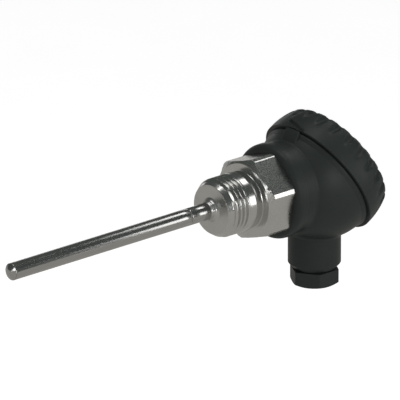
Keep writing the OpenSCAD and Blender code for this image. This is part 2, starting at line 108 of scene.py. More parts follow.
# %% [markdown]
# ## Outlines with rounded corners
# Real edges are never sharp: a tool leaves a small radius, and that radius catches the light. A Bevel
# modifier could round them afterwards, but it can't follow a thread. Here an outline is written as its
# corners, each with the length that its rounding takes from both legs. The straight legs are cut into
# short steps, so that a thread or a scallop can bend them. A fourth number gives one leg a step of its
# own, from its corner to the next.


# %% Outline helper
def outline(corners, step=1.0, closed=True, arc_steps=4):
    """Corners (along, radius, rounding[, step]) to points. A corner's arc is the curve
    (1-t)^2 A + 2t(1-t) B + t^2 C, where B is the corner and A and C lie on its legs."""
    steps = [corner[3] if len(corner) > 3 else step for corner in corners]
    corners = np.array([corner[:3] for corner in corners], float)
    places, rounding = corners[:, :2], corners[:, 2:3]
    to_before = np.roll(places, 1, 0) - places
    to_after = np.roll(places, -1, 0) - places
    to_before /= np.linalg.norm(to_before, axis=1, keepdims=True)
    to_after /= np.linalg.norm(to_after, axis=1, keepdims=True)
    if not closed:
        rounding[[0, -1]] = 0
    t = np.linspace(0, 1, arc_steps + 1)[None, :, None]
    arcs = ((1 - t) ** 2 * (places + rounding * to_before)[:, None]
            + 2 * t * (1 - t) * places[:, None]
            + t ** 2 * (places + rounding * to_after)[:, None])
    pieces = []
    for i in range(len(places) if closed else len(places) - 1):
        start, end = arcs[i, -1], arcs[(i + 1) % len(places), 0]
        pieces.append(arcs[i] if rounding[i] > 0 else arcs[i, :1])
        cuts = max(1, int(np.ceil(np.linalg.norm(end - start) / steps[i])))
        pieces.append(start + (end - start) * (np.arange(1, cuts) / cuts)[:, None])
    if not closed:
        pieces.append(places[-1:])
    path = np.vstack(pieces)
    return path[:, :1], path[:, 1:]


def soft_min(a, b, round_by):
    """The smaller of two values, with the corner between them rounded:
    (a + b - sqrt((a - b)^2 + round_by^2)) / 2."""
    return (a + b - np.sqrt((a - b) ** 2 + round_by ** 2)) / 2


rounded_square = outline([(0, 1, 0.2), (1, 1, 0.2), (1, 2, 0.2), (0, 2, 0.2)])
print("a rounded square has", len(rounded_square[0]), "points")

# %% [markdown]
# ## From a grid of points to a closed mesh
# Each row of the grid is one turn round the axis, and the rows follow each other along the outline. A
# washer's outline closes on itself and gives a ring. A lid's outline starts and ends on the axis, and
# its two end rows shrink to one point each. The enclosed volume tells whether the faces look outwards.


# %% Mesh helpers
def new_object(name, data):
    """An object that shows this data, put into the scene."""
    made = bpy.data.objects.new(name, data)
    bpy.context.scene.collection.objects.link(made)
    return made


def tidy_mesh(piece, sharp):
    """Merges points closer than a thousandth of a millimetre and shades all but the sharp edges smooth."""
    work = bmesh.new()
    work.from_mesh(piece.data)
    bmesh.ops.remove_doubles(work, verts=work.verts, dist=0.001 * MM)
    loose = [v for v in work.verts if not v.link_faces]
    bmesh.ops.delete(work, geom=loose, context="VERTS")
    work.to_mesh(piece.data)
    work.free()
    piece.data.shade_smooth()
    piece.data.set_sharp_from_angle(angle=math.radians(sharp))


def add_piece(name, points, body, slot, replaces=(), closed=True, sharp=35):
    """Grid (rows, columns, 3) in mm to a mesh in metres. Volume = sum of a . (b x c) / 6 over triangles;
    where it comes out negative, all faces are turned round."""
    rows, columns = points.shape[:2]
    index = np.arange(rows * columns).reshape(rows, columns)
    if not closed:
        index[0] = index[0, 0]
        index[-1] = index[-1, 0]
    below = np.roll(index, -1, 0) if closed else index[1:]
    index = index if closed else index[:-1]
    quads = np.stack([index, np.roll(index, -1, 1), np.roll(below, -1, 1), below], -1).reshape(-1, 4)
    flat = points.reshape(-1, 3) * MM
    a, b, c, d = (flat[quads[:, k]] for k in range(4))
    volume = (np.einsum("ij,ij->", a, np.cross(b, c)) + np.einsum("ij,ij->", a, np.cross(c, d))) / 6
    if volume < 0:
        quads = quads[:, ::-1]
    mesh = bpy.data.meshes.new(name)
    mesh.from_pydata(flat.tolist(), [], quads.tolist())
    piece = new_object(name, mesh)
    tidy_mesh(piece, sharp)
    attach(piece, body)
    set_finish(piece, slot)
    if replaces:
        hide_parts(*replaces)
    print(name, len(mesh.polygons), "faces,", round(abs(volume) / MM ** 3), "mm3")
    return piece


print("mesh helpers ready")

# %% [markdown]
# ## The camera
# A long lens from far away keeps parallel edges nearly parallel, so the tube doesn't seem to taper. The
# camera aims at a point between tip and head, and the lens follows from the width that it has to show.

# %% Camera
VIEW_AZIMUTH = -42.2
VIEW_ELEVATION = 20.0
VIEW_WIDTH = 136.8 * MM
VIEW_HALF_ANGLE = math.radians(0.75)
AIM_RIGHT, AIM_UP, AIM_NEARER = -14.9 * MM, -0.1 * MM, 10 * MM
azimuth, elevation = math.radians(VIEW_AZIMUTH), math.radians(VIEW_ELEVATION)
to_camera = np.array([math.sin(azimuth) * math.cos(elevation),
                      -math.cos(azimuth) * math.cos(elevation), math.sin(elevation)])
screen_right = np.array([math.cos(azimuth), math.sin(azimuth), 0])
screen_up = np.cross(to_camera, screen_right)
aim = screen_right * AIM_RIGHT + screen_up * AIM_UP + to_camera * AIM_NEARER
distance = VIEW_WIDTH / 2 / math.tan(VIEW_HALF_ANGLE)

camera_data = bpy.data.cameras.new("camera")
camera_data.sensor_width = 36
camera_data.lens = camera_data.sensor_width / 2 / math.tan(VIEW_HALF_ANGLE)
camera_data.clip_end = 20
camera = new_object("camera", camera_data)
camera.location = aim + to_camera * distance
camera.rotation_euler = (math.pi / 2 - elevation, 0, azimuth)
bpy.context.scene.camera = camera
bpy.context.scene.view_settings.view_transform = "Standard"
print("lens in mm:", round(camera_data.lens), "distance in m:", round(distance, 2))

# %% [markdown]
# ## The thermometer's tube and tip
# The tube is drawn thin-walled steel, with one fine ring mark. Its closed end is a shallow dome, fused
# on with a fine seam. Cylinders with bevels could make both, but a turned outline gives every corner
# its own radius and takes the mark in the same stroke.

# %% Tube and tip
TUBE_BORE_R = 2.5
PLUG_R = 2.47
SEAM = 0.08
MARK_X = -25.9
MARK_DEPTH = 0.035
MARK_HALF_WIDTH, MARK_HALF_FLOOR = 0.12, 0.06
DOME = [(0, 0, 0), (0.10, 1.0, 0.4), (0.80, 2.45, 0.5)]
tube_low, tube_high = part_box("sheath_tube")
tip_low, tip_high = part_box("tip_cap")
tube_r = (tube_high.z - tube_low.z) / 2 / MM
tube_start, tube_end = tube_low.x / MM, tube_high.x / MM
tip_end, plug_end = tip_low.x / MM, tip_high.x / MM

tube_path = outline([
    (tube_start, TUBE_BORE_R, 0), (tube_start, tube_r, SEAM),
    (MARK_X - MARK_HALF_WIDTH, tube_r, 0), (MARK_X - MARK_HALF_FLOOR, tube_r - MARK_DEPTH, 0),
    (MARK_X + MARK_HALF_FLOOR, tube_r - MARK_DEPTH, 0), (MARK_X + MARK_HALF_WIDTH, tube_r, 0),
    (tube_end, tube_r, 0), (tube_end, TUBE_BORE_R, 0)], step=4)
add_piece("tube", spin(PROBE, *tube_path, full_turn(128)), "housing", "sheath_steel", ["sheath_tube"])

tip_path = outline(
    [(tip_end + from_end, radius, rounding) for from_end, radius, rounding in DOME]
    + [(tube_start - 0.02, tube_r, 0.25), (tube_start, tube_r - SEAM, 0), (tube_start, PLUG_R, 0),
       (plug_end, PLUG_R, 0), (plug_end, 0, 0)],
    step=0.4, closed=False, arc_steps=6)
add_piece("tip", spin(PROBE, *tip_path, full_turn(96)), "housing", "sheath_steel", ["tip_cap"], closed=False)

# %% [markdown]
# ## The weld between tube and fitting
# The tube enters the fitting through a fillet weld, laid in two passes by hand, so two low beads show
# round the tube and neither is quite even. It could be sculpted, but a height over the tube that
# depends on place and angle is shorter, and it closes without a seam.

# %% Weld
WELD_RISE, WELD_POWER = 1.35, 2.2
WELD_LIMIT = 1.38
BEAD_PLACES = (0.30, 0.62)
BEAD_HEIGHT, BEAD_WIDTH = 0.10, 0.10
RIPPLES, RIPPLE_HEIGHT = 11, 0.035
WELD_CLEAR = 0.01
fitting_low, fitting_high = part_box("process_fitting")
face_x = fitting_low.x / MM
weld_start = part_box("sheath_weld")[0].x / MM


def weld_height(share, angle):
    """Height over the tube at a share of the weld's length: rise * share^power, a bell curve
    exp(-((share - place) / width)^2) for each bead, and waves round the tube that fade at both ends."""
    beads = sum(BEAD_HEIGHT * np.exp(-((share - place) / BEAD_WIDTH) ** 2) for place in BEAD_PLACES)
    ripple = RIPPLE_HEIGHT * np.sin(RIPPLES * angle) * np.sin(np.pi * share)
    return np.minimum(WELD_RISE * share ** WELD_POWER + beads + ripple, WELD_LIMIT)


weld_x = np.linspace(weld_start, face_x, 48)[:, None]
weld_angle = full_turn(144)
weld_r = tube_r + 2 * WELD_CLEAR + weld_height((weld_x - weld_start) / (face_x - weld_start), weld_angle)
weld_points = np.concatenate([
    spin(PROBE, weld_x, weld_r, weld_angle),
    spin(PROBE, face_x, tube_r + WELD_CLEAR, weld_angle),
    spin(PROBE, weld_start, tube_r + WELD_CLEAR, weld_angle)])
add_piece("weld", weld_points, "housing", "fitting_steel", ["sheath_weld"])

# %% [markdown]
# ## Threads and hexagons as radii
# Thread, neck, hexagon and spigot are turned from one bar. A thread is a helix: its height depends on
# the distance along the axis less one pitch for each turn. A hexagon is the smaller of two radii, that
# of six flats and that of the turned bar, which is just how a milled nut comes about. As radii, both
# can bend any turned outline, where a boolean would leave thin, badly shaded faces.

# %% Thread and hexagon as radii
PITCH = 1.814
CREST_R = 20.955 / 2
THREAD_DEPTH = 1.162
THREAD_PHASE = 0.81
THREAD_STOP, RUN_OUT = -5.9, 1.0


def thread_height(along, angle, pitch, phase=0.0, soft=0.16):
    """Height of a rounded V thread between 0 and 1. A triangle wave |2 frac - 1| in
    (along / pitch - angle / turn + phase) is stretched by 1.5 and cut softly at 0 and 1."""
    turns = along / pitch - angle / (2 * np.pi) + phase
    wave = np.abs(2 * (turns - np.floor(turns)) - 1) * 1.5 - 0.25
    return soft_min(-soft_min(-wave, 0.0, soft), 1.0, soft)


def thread_share(along, start, run_in, end, run_out):
    """1 on the full thread. It rises from 0 in a straight line after start, and falls to 0 before end."""
    return np.clip((along - start) / run_in, 0, 1) * np.clip((end - along) / run_out, 0, 1)


def hexagon_radius(angle, flats, turn):
    """Distance from the axis to a hexagon's flat: half the width over cos(angle from the flat's middle)."""
    sixth = np.pi / 3
    from_middle = (angle - turn) % sixth - sixth / 2
    return flats / 2 / np.cos(from_middle)


print("thread turns:", round((THREAD_STOP - face_x) / PITCH, 1))

# %% [markdown]
# ## The fitting
# The outline runs over the end face, the thread, the undercut neck and the hexagon, and back through
# the spigot and the hole for the tube. Only the thread needs fine steps, so the rest is thinned out.

# %% Fitting
FACE_R = 8.8
THREAD_CHAMFER = 2.7
CREST_END, UNDERCUT_START, UNDERCUT_R = -3.0, -1.8, 10.0
HEX_AF = 27.0
HEX_LENGTH = 10.7
HEX_TURN = math.radians(13)
HEX_BAR_R = 15.1
HEX_CHAMFER, HEX_FACE_R = 1.33, 12.8
SPIGOT_R, SPIGOT_BORE_R = 12.0, 6.0
TUBE_HOLE_R, TUBE_HOLE_END = 3.03, 6.7
spigot_end = fitting_high.x / MM
fitting_path = outline([
    (face_x, TUBE_HOLE_R, 0), (face_x, FACE_R, 0.12), (face_x + THREAD_CHAMFER, CREST_R, 0.1),
    (THREAD_STOP - 0.1, CREST_R, 0), (CREST_END, CREST_R, 0.5), (UNDERCUT_START, UNDERCUT_R, 0.6),
    (0, UNDERCUT_R, 0.3), (0, HEX_FACE_R, 0.1), (HEX_CHAMFER, HEX_BAR_R, 0.08),
    (HEX_LENGTH, HEX_BAR_R, 0.1), (HEX_LENGTH, SPIGOT_R, 0), (spigot_end, SPIGOT_R, 0.4),
    (spigot_end, SPIGOT_BORE_R, 0.2), (TUBE_HOLE_END, SPIGOT_BORE_R, 0), (TUBE_HOLE_END, TUBE_HOLE_R, 0)],
    step=0.09)


def thin_out(path, fine, keep_every):
    """Keeps the fine points, every few of the rest, and those where the outline bends, which is where
    the second difference of either coordinate isn't zero."""
    keep = fine | (np.arange(len(fine)) % keep_every == 0)
    for column in path:
        values = column[:, 0]
        keep |= np.abs(np.diff(values, 2, prepend=values[0], append=values[-1])) > 1e-6
    return path[0][keep], path[1][keep]


path_x, path_r = fitting_path[0][:, 0], fitting_path[1][:, 0]
on_thread = (path_x > face_x) & (path_x < THREAD_STOP + 0.3) & (path_r > SPIGOT_BORE_R)
fitting_x, fitting_r = thin_out(fitting_path, on_thread, 9)
fitting_angle = full_turn(360)
run_out = np.clip((THREAD_STOP - fitting_x) / RUN_OUT, 0, 1)
groove = THREAD_DEPTH * (1 - thread_height(fitting_x, fitting_angle, PITCH, THREAD_PHASE)) * run_out
threaded = (fitting_r > FACE_R - 0.1) & (fitting_x < THREAD_STOP)
on_hexagon = (fitting_x >= -1e-9) & (fitting_x <= HEX_LENGTH + 1e-9) & (fitting_r > SPIGOT_R + 0.01)
fitting_radius = np.where(threaded, np.minimum(fitting_r, CREST_R - groove), fitting_r)
fitting_radius = np.where(
    on_hexagon, np.minimum(fitting_r, hexagon_radius(fitting_angle, HEX_AF, HEX_TURN)), fitting_radius)
add_piece("fitting", spin(PROBE, fitting_x, fitting_radius, fitting_angle), "housing", "fitting_steel",
          ["process_fitting"], sharp=28)

# %% [markdown]
# ## Finger scallops as a formula
# The lid is moulded with finger scallops round its top edge. Each one is a round groove that leans
# towards the lid's axis, so it's deep in the top edge and runs out in the skirt. Booleans would leave a
# ragged mesh. Here the lid's radius is the smaller of its turned outline and the distance from the axis
# to the groove's wall.

# %% Scallops
SCALLOPS = 24
SCALLOP_R = 1.7
SCALLOP_FLOOR = 19.4
SCALLOP_LEAN = math.radians(31)
EDGE_HEIGHT = 11.7
FAR_OUT = 99.0


def scallop_wall(height, angle):
    """Distance from the lid's axis to the wall of a leaning round groove, or far out beside it. At one height
    the groove is an ellipse round c, so rho solves (rho cos a - c)^2 cos^2 lean + (rho sin a)^2 = R^2."""
    squash = math.cos(SCALLOP_LEAN) ** 2
    lowest = SCALLOP_FLOOR + SCALLOP_R / math.cos(SCALLOP_LEAN)
    centre = lowest + (EDGE_HEIGHT - height) * math.tan(SCALLOP_LEAN)
    square = np.cos(angle) ** 2 * squash + np.sin(angle) ** 2
    half = centre * np.cos(angle) * squash
    inside = half ** 2 - square * (centre ** 2 * squash - SCALLOP_R ** 2)
    return np.where(inside > 0, (half - np.sqrt(np.clip(inside, 0, None))) / square, FAR_OUT)


print("groove floor at the top edge:", round(float(scallop_wall(EDGE_HEIGHT, 0.0)), 2))

# %% [markdown]
# ## The lid's outline
# Outside, the skirt stands straight at first and then draws in with the square of the height, up to a
# gently domed top. Inside are the thread's bore, the seal's shoulder and the ceiling. Every scallop
# gets twenty columns, which is enough for a smooth groove.

# %% Lid outline
LID_TOP = [(13.05, 0, 0), (12.6, 12.0, 4), (11.72, 20.3, 0.6), (10.8, 21.6, 0.8)]
LID_FOOT = 0.25
SKIRT_R = 23.5
SKIRT_STRAIGHT, SKIRT_CURVED, SKIRT_DRAW_IN = 2, 8.4, 1.64
LID_BORE_R, LID_BORE_TOP = 20.9, 7.7
RECESS_R, CEILING = 18.4, 8.7
LID_PITCH, LID_THREAD_DEPTH = 2.0, 0.55
LID_THREAD_LOW, LID_THREAD_TOP = 0.7, 7.0
down_skirt = np.linspace(1, 0, 49)[1:]
skirt = [(SKIRT_STRAIGHT + SKIRT_CURVED * u, SKIRT_R - SKIRT_DRAW_IN * u ** 2, 0) for u in down_skirt]
lid_h, lid_r = outline([
    *LID_TOP, *skirt, (LID_FOOT, SKIRT_R, 0.3), (LID_FOOT, LID_BORE_R + 0.3, 0.2),
    (LID_FOOT + 0.5, LID_BORE_R, 0, 0.2), (LID_BORE_TOP, LID_BORE_R, 0), (LID_BORE_TOP, RECESS_R, 0.2),
    (CEILING, RECESS_R, 0.2, 6), (CEILING, 0, 0)], step=0.5, closed=False)
foot_row = np.argmin(np.abs(lid_h - LID_FOOT) + np.abs(lid_r - SKIRT_R + 0.4))
outside = np.arange(len(lid_h))[:, None] < foot_row
in_bore = (np.abs(lid_r - LID_BORE_R) < 0.01) & (lid_h < LID_THREAD_TOP)
around_lid = full_turn(SCALLOPS * 20)

slice_angle = 2 * np.pi / SCALLOPS
from_scallop = (around_lid + slice_angle / 2) % slice_angle - slice_angle / 2
scalloped = soft_min(lid_r, scallop_wall(lid_h, from_scallop), 0.25)
lid_share = thread_share(lid_h, LID_THREAD_LOW, 0.5, LID_THREAD_TOP, 1.0)
lid_thread = LID_THREAD_DEPTH * thread_height(lid_h, -around_lid, LID_PITCH) * lid_share
lid_radius = np.where(outside, scalloped, np.where(in_bore, lid_r + lid_thread, lid_r))
print("lid grid:", lid_radius.shape)

# %% [markdown]
# ## A slot in the skirt
# Beside the lug, a short slot slants across the lid's skirt. A boolean could cut it, but the radius only
# has to give way near a line drawn on the skirt, which keeps the grid whole.

# %% Slot and lid
SLOT_FROM, SLOT_TO = np.array([-3.66, 0.3]), np.array([4.07, 2.8])
SLOT_HALF_WIDTH, SLOT_SLOPE, SLOT_DEPTH = 0.5, 0.3, 0.8
SLOT_R = 23.3


def from_line(points, start, end):
    """Distance of points from the line between two others. The nearest place on it is at the share
    (point - start) . (end - start) / |end - start|^2, held between 0 and 1."""
    whole = end - start
    share = np.clip((points - start) @ whole / (whole @ whole), 0, 1)
    return np.linalg.norm(points - start - share[..., None] * whole, axis=-1)


round_skirt = SLOT_R * ((around_lid + np.pi) % (2 * np.pi) - np.pi)
off_line = from_line(np.stack(np.broadcast_arrays(round_skirt, lid_h), -1), SLOT_FROM, SLOT_TO)
slot_share = np.clip((SLOT_HALF_WIDTH + SLOT_SLOPE - off_line) / SLOT_SLOPE, 0, 1) * (outside & (lid_r > 22))
lid_radius = lid_radius - SLOT_DEPTH * slot_share
lid_radius[[0, -1]] = 0
add_piece("lid", spin(LID, lid_h, lid_radius, around_lid), "lid", "head_plastic", ["head_lid"],
          closed=False, sharp=50)

# %% [markdown]
# ## The head's body
# Collar, neck and bowl are turned about the probe's axis, but the rim is turned about the lid's. The
# bowl's centre lies on both axes, so one grid can pass from one to the other: each column runs over
# the collar and the bowl until it meets the rim's tilted plane, then goes on over the rim, down inside
# and back through the floor. Two turned bodies and a boolean would leave a seam where they meet.

# %% Bowl between two axes
BOWL_R = 21.7
BOWL_INNER_R = 19.3
NECK_R = 16.1
LIP_DROP = 1.9
FLOOR_X = 24.0
CREASE_ANGLE = math.radians(1.2)
bowl_x = bowl_centre[0]
body_angle = full_turn(288)


def bowl_point(radius, polar, around):
    """Point of a ball round the bowl's centre. polar is counted from the direction to the probe's tip."""
    return bowl_centre + radius * np.stack(np.broadcast_arrays(
        -np.cos(polar), -np.sin(polar) * np.sin(around), np.sin(polar) * np.cos(around)), -1)


def polar_at_height(radius, height, around):
    """Polar angle at which the ball reaches a height along the lid's axis.
    It solves -A cos(p) + B sin(p) = height / radius, with A and B from the lid's axis."""
    a, b = lid_axis[0], lid_axis[2] * np.cos(around)
    return np.arccos(-height / radius / np.hypot(a, b)) - np.arctan2(b, a)


def lid_angle(points):
    """Angle of points round the lid's axis, from its top, without a jump after a full turn."""
    from_centre = points - bowl_centre
    return np.unwrap(np.arctan2(from_centre @ LID[3], from_centre @ LID[2]))


bowl_start = math.asin(NECK_R / BOWL_R) + CREASE_ANGLE
floor_polar = math.acos((bowl_x - FLOOR_X) / BOWL_INNER_R)
outer_polar = np.linspace(bowl_start, polar_at_height(BOWL_R, -LIP_DROP, body_angle)[0], 40)
inner_polar = np.linspace(polar_at_height(BOWL_INNER_R, 0.0, body_angle)[0], floor_polar, 24)
bowl_rows = bowl_point(BOWL_R, outer_polar, body_angle)
inner_rows = bowl_point(BOWL_INNER_R, inner_polar, body_angle)
print("bowl rows:", len(bowl_rows), "inside:", len(inner_rows))

# %% [markdown]
# ## Rim, collar and floor
# The rim starts where the bowl's columns end, with a soft lip, and carries the ring that the lid screws
# on. Its columns go from the angles of the outer bowl to those of the inner one, so they slant a
# little and need no seam. Collar and floor are plain turned stretches at the two ends.

# %% Body of the head, without the gland
LIP_R = 22.2
RING_R, RING_INNER_R, RING_HEIGHT = 20.8, 18.9, 6.0
RING_THREAD_LOW, RING_THREAD_HIGH, RING_THREAD_DEPTH = 0.7, 5.6, 0.6
COLLAR_R, COLLAR_END = 16.75, 14.9
GASKET_R, GASKET_SEAT = 13.85, 12.2
SOCKET_R, SOCKET_END = 12.05, 20.0
PASSAGE_R, FLOOR_EDGE_R = 4.6, 16.0

rim_h, rim_r = outline([
    (-LIP_DROP, BOWL_R - 0.05, 0), (-0.7, LIP_R, 0.3), (0, LIP_R, 0.2), (0, RING_R - 0.1, 0.15),
    (RING_HEIGHT, RING_R, 0.3), (RING_HEIGHT, RING_INNER_R, 0.4), (0, RING_INNER_R, 0)],
    step=0.2, closed=False)
rim_angle = np.linspace(lid_angle(bowl_rows[-1]), lid_angle(inner_rows[0]), len(rim_h))
on_ring = (rim_r > RING_R - 0.2) & (rim_h > RING_THREAD_LOW) & (rim_h < RING_THREAD_HIGH)
rim_share = thread_share(rim_h, RING_THREAD_LOW, 0.8, RING_THREAD_HIGH, 0.5) * on_ring
rim_groove = RING_THREAD_DEPTH * (1 - thread_height(rim_h, -rim_angle, LID_PITCH, 0.5)) * rim_share

neck_end = bowl_x - math.sqrt(BOWL_R ** 2 - NECK_R ** 2) - 0.5
collar_path = outline([
    (HEX_LENGTH, GASKET_R, 0.05), (HEX_LENGTH, COLLAR_R, 2.6), (COLLAR_END, COLLAR_R, 0.12),
    (COLLAR_END + 0.25, NECK_R, 0.05), (neck_end, NECK_R, 0)], step=0.45, closed=False, arc_steps=10)
floor_path = outline([
    (FLOOR_X, FLOOR_EDGE_R, 0), (FLOOR_X, PASSAGE_R, 0.2), (SOCKET_END, PASSAGE_R, 0),
    (SOCKET_END, SOCKET_R, 0), (GASKET_SEAT, SOCKET_R, 0), (GASKET_SEAT, GASKET_R, 0)],
    step=1.5, closed=False)
body_points = np.concatenate([
    spin(PROBE, *collar_path, body_angle), bowl_rows, spin(LID, rim_h, rim_r - rim_groove, rim_angle),
    inner_rows, spin(PROBE, *floor_path, body_angle)])
head = add_piece("head", body_points, "housing", "head_plastic", ["head_body"], sharp=50)

# %% [markdown]
# ## A lug on the rim
# One small block stands on top of the rim and shows how far the lid is screwed on. It's a short bar that
# comes out of the wall, so its section can be a rounded rectangle, the smaller of two distances. Its outer
# face falls back towards the bowl, so that its lower end runs out in the wall.

# %% Lug
LUG_WIDTH, LUG_HEIGHT, LUG_LENGTH = 7.0, 4.4, 4.5
LUG_R = 23.45
LUG_ROUND, LUG_CORNER = 0.45, 0.5
LUG_FALL, LUG_FALL_POWER = 2.3, 1.3
LUG = (bowl_centre - lid_axis * LUG_HEIGHT / 2, LID[2], LID[3], lid_axis)
lug_angle = full_turn(160)
lug_edge = soft_min(LUG_WIDTH / 2 / np.maximum(np.abs(np.cos(lug_angle)), 1e-3),
                    LUG_HEIGHT / 2 / np.maximum(np.abs(np.sin(lug_angle)), 1e-3), LUG_CORNER)
lug_t = np.linspace(0, np.pi / 2, 8)[:, None]
lug_inset = np.concatenate([[[FAR_OUT], [0], [0]], LUG_ROUND * (1 - np.cos(lug_t)), [[FAR_OUT]]])
lug_out = np.concatenate([
    [[-LUG_LENGTH], [-LUG_LENGTH], [-LUG_ROUND]], LUG_ROUND * (np.sin(lug_t) - 1), [[0]]])
lug_r = np.clip(lug_edge - lug_inset, 0, None)
lug_fall = LUG_FALL * np.clip(0.5 - lug_r * np.sin(lug_angle) / LUG_HEIGHT, 0, 1) ** LUG_FALL_POWER
lug_along = np.sqrt(LUG_R ** 2 - (lug_r * np.cos(lug_angle)) ** 2) + lug_out - lug_fall
lug_points = spin(LUG, lug_along, lug_r, lug_angle)
print("lug rows:", len(lug_points))

# %% [markdown]
# ## Joining the gland boss to the bowl
# The boss meets the round bowl along a curve that no lathe outline can follow. Both are closed meshes,
# so a boolean union joins them, and a difference drills the cable's bore through both. The boss flares
# a little where it enters the bowl, which gives the moulded fillet.

# %% Gland boss
BOSS_R, BOSS_TIP_R = 9.2, 7.6
BOSS_START, BOSS_END = 24.0, 32.2
BOSS_CHAMFER = 1.8
BOSS_FILLET = 0.9
BOSS_ROOT = 16.0
GLAND_THREAD_R, GLAND_THREAD_END = 6.6, 36.2
GLAND_THREAD_DEPTH = 0.45
GLAND_PITCH = 1.5
boss_angle = full_turn(192)
fillet_t = np.linspace(0, np.pi / 2, 8)[:, None]
fillet_r = BOSS_R + BOSS_FILLET * (1 - np.cos(fillet_t))
flare_x = gland_centre[0] + fillet_r * np.cos(boss_angle) - bowl_x
flare_y = fillet_r * np.sin(boss_angle)
bowl_depth = np.sqrt(BOWL_R ** 2 - flare_x ** 2 - flare_y ** 2)
fillet_depth = bowl_depth + BOSS_FILLET * (1 - np.sin(fillet_t)) - 0.02
boss_h, boss_r = outline([
    (BOSS_START, BOSS_R, 0), (BOSS_END - BOSS_CHAMFER, BOSS_R, 0.15), (BOSS_END, BOSS_TIP_R, 0.1),
    (BOSS_END, GLAND_THREAD_R, 0), (GLAND_THREAD_END, GLAND_THREAD_R, 0.2), (GLAND_THREAD_END, 0, 0)],
    step=0.2, closed=False)
on_gland = (np.abs(boss_r - GLAND_THREAD_R) < 0.01) & (boss_h > BOSS_END)
boss_share = thread_share(boss_h, BOSS_END + 0.4, 0.4, GLAND_THREAD_END, 0.3) * on_gland
boss_groove = GLAND_THREAD_DEPTH * (1 - thread_height(boss_h, -boss_angle, GLAND_PITCH)) * boss_share
boss_points = np.concatenate([
    spin(GLAND, BOSS_ROOT, 0.0, boss_angle), spin(GLAND, BOSS_ROOT, BOSS_R + BOSS_FILLET, boss_angle),
    spin(GLAND, fillet_depth[::-1], fillet_r[::-1], boss_angle),
    spin(GLAND, boss_h, boss_r - boss_groove, boss_angle)])
print("boss rows:", len(boss_points))


# %% Join and drill
def combine(piece, name, points, operation):
    """Makes a closed helper mesh from a grid with points as its end rows, joins it to the piece or cuts
    it away by one boolean, and removes it."""
    helper = add_piece(name, points, "housing", "head_plastic", closed=False)
    modifier = piece.modifiers.new(operation, "BOOLEAN")
    modifier.operation = operation
    modifier.object = helper
    modifier.solver = "MANIFOLD"
    graph = bpy.context.evaluated_depsgraph_get()
    mesh = bpy.data.meshes.new_from_object(piece.evaluated_get(graph))
    piece.modifiers.clear()
    piece.data = mesh
    bpy.data.objects.remove(helper)


CABLE_R, SEAL_R = 4.6, 5.3
BORE_START, SEAL_SHOULDER, BORE_END = 14.5, 30.3, 37.0
combine(head, "boss", boss_points, "UNION")
combine(head, "lug", lug_points, "UNION")
bore_path = outline([
    (BORE_START, 0, 0), (BORE_START, CABLE_R, 0), (SEAL_SHOULDER, CABLE_R, 0), (SEAL_SHOULDER, SEAL_R, 0),
    (BORE_END, SEAL_R, 0), (BORE_END, 0, 0)], step=2, closed=False)
combine(head, "bore", spin(GLAND, *bore_path, full_turn(96)), "DIFFERENCE")
tidy_mesh(head, 50)
print("head:", len(head.data.polygons), "faces")

# %% [markdown]
# ## The gland nut
# A small moulded hexagon with a chamfered end. Moulded edges are rounder than milled ones, so the
# two radii are blended over a longer stretch than on the fitting.

# %% Gland nut
NUT_AF = 15.5
NUT_BORE_R, NUT_MOUTH_R, NUT_WALL = 6.65, 4.5, 2
NUT_CHAMFER_LENGTH, NUT_CHAMFER_DEPTH = 1.0, 2
nut_low, nut_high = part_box("gland_nut")
nut_top, nut_end = -nut_high.z / MM, -nut_low.z / MM
nut_corner = NUT_AF / 2 / math.cos(math.pi / 6)
nut_h, nut_r = outline([
    (nut_top, NUT_BORE_R, 0.1), (nut_top, nut_corner, 0.25), (nut_end - NUT_CHAMFER_LENGTH, nut_corner, 0.3),
    (nut_end, nut_corner - NUT_CHAMFER_DEPTH, 0.3), (nut_end, NUT_MOUTH_R, 0.3),
    (nut_end - NUT_WALL, NUT_MOUTH_R, 0.1), (nut_end - NUT_WALL, NUT_BORE_R, 0)], step=0.25)
nut_angle = full_turn(240)
nut_wall = soft_min(nut_r, hexagon_radius(nut_angle, NUT_AF, 0.0), 0.3)
nut_radius = np.where(nut_r > NUT_BORE_R + 0.05, nut_wall, nut_r)
add_piece("nut", spin(GLAND, nut_h, nut_radius, nut_angle), "gland", "head_plastic", ["gland_nut"], sharp=40)

# %% [markdown]
# ## The four insulated wires
# Each wire leaves the resin at the tube's end, rises through the ceramic's hole and runs into a sleeve
# under a terminal screw. A bevelled curve would show the same, but a mesh needs no conversion. A
# smooth path through ten points carries a round section. The other three wires mirror the first.

# %% Wires
LEAD_R = 0.6
LEAD_ROUTE = np.array([
    (4.72, 1.025, 1.025), (8.7, 1.025, 1.025), (11.7, 1.025, 1.025), (21.0, 1.2, 1.6), (25.0, 1.3, 2.2),
    (28.0, 1.4, 2.97), (30.2, 1.4, 3.371), (31.47, 1.9, 4.7), (31.47, 2.5, 4.7), (31.47, 3.1, 4.7)])


def smooth_path(points, steps):
    """Curve through all points: 0.5 (2b + (c-a) t + (2a-5b+4c-d) t^2 + (3b-a-3c+d) t^3) between b and c."""
    last = len(points) - 1
    u = np.linspace(0, last, last * steps + 1)
    i = np.minimum(u.astype(int), last - 1)
    t = (u - i)[:, None]
    a, b, c, d = (points[np.clip(i + k, 0, last)] for k in (-1, 0, 1, 2))
    return 0.5 * (2 * b + (c - a) * t + (2 * a - 5 * b + 4 * c - d) * t ** 2
                  + (3 * b - a - 3 * c + d) * t ** 3)


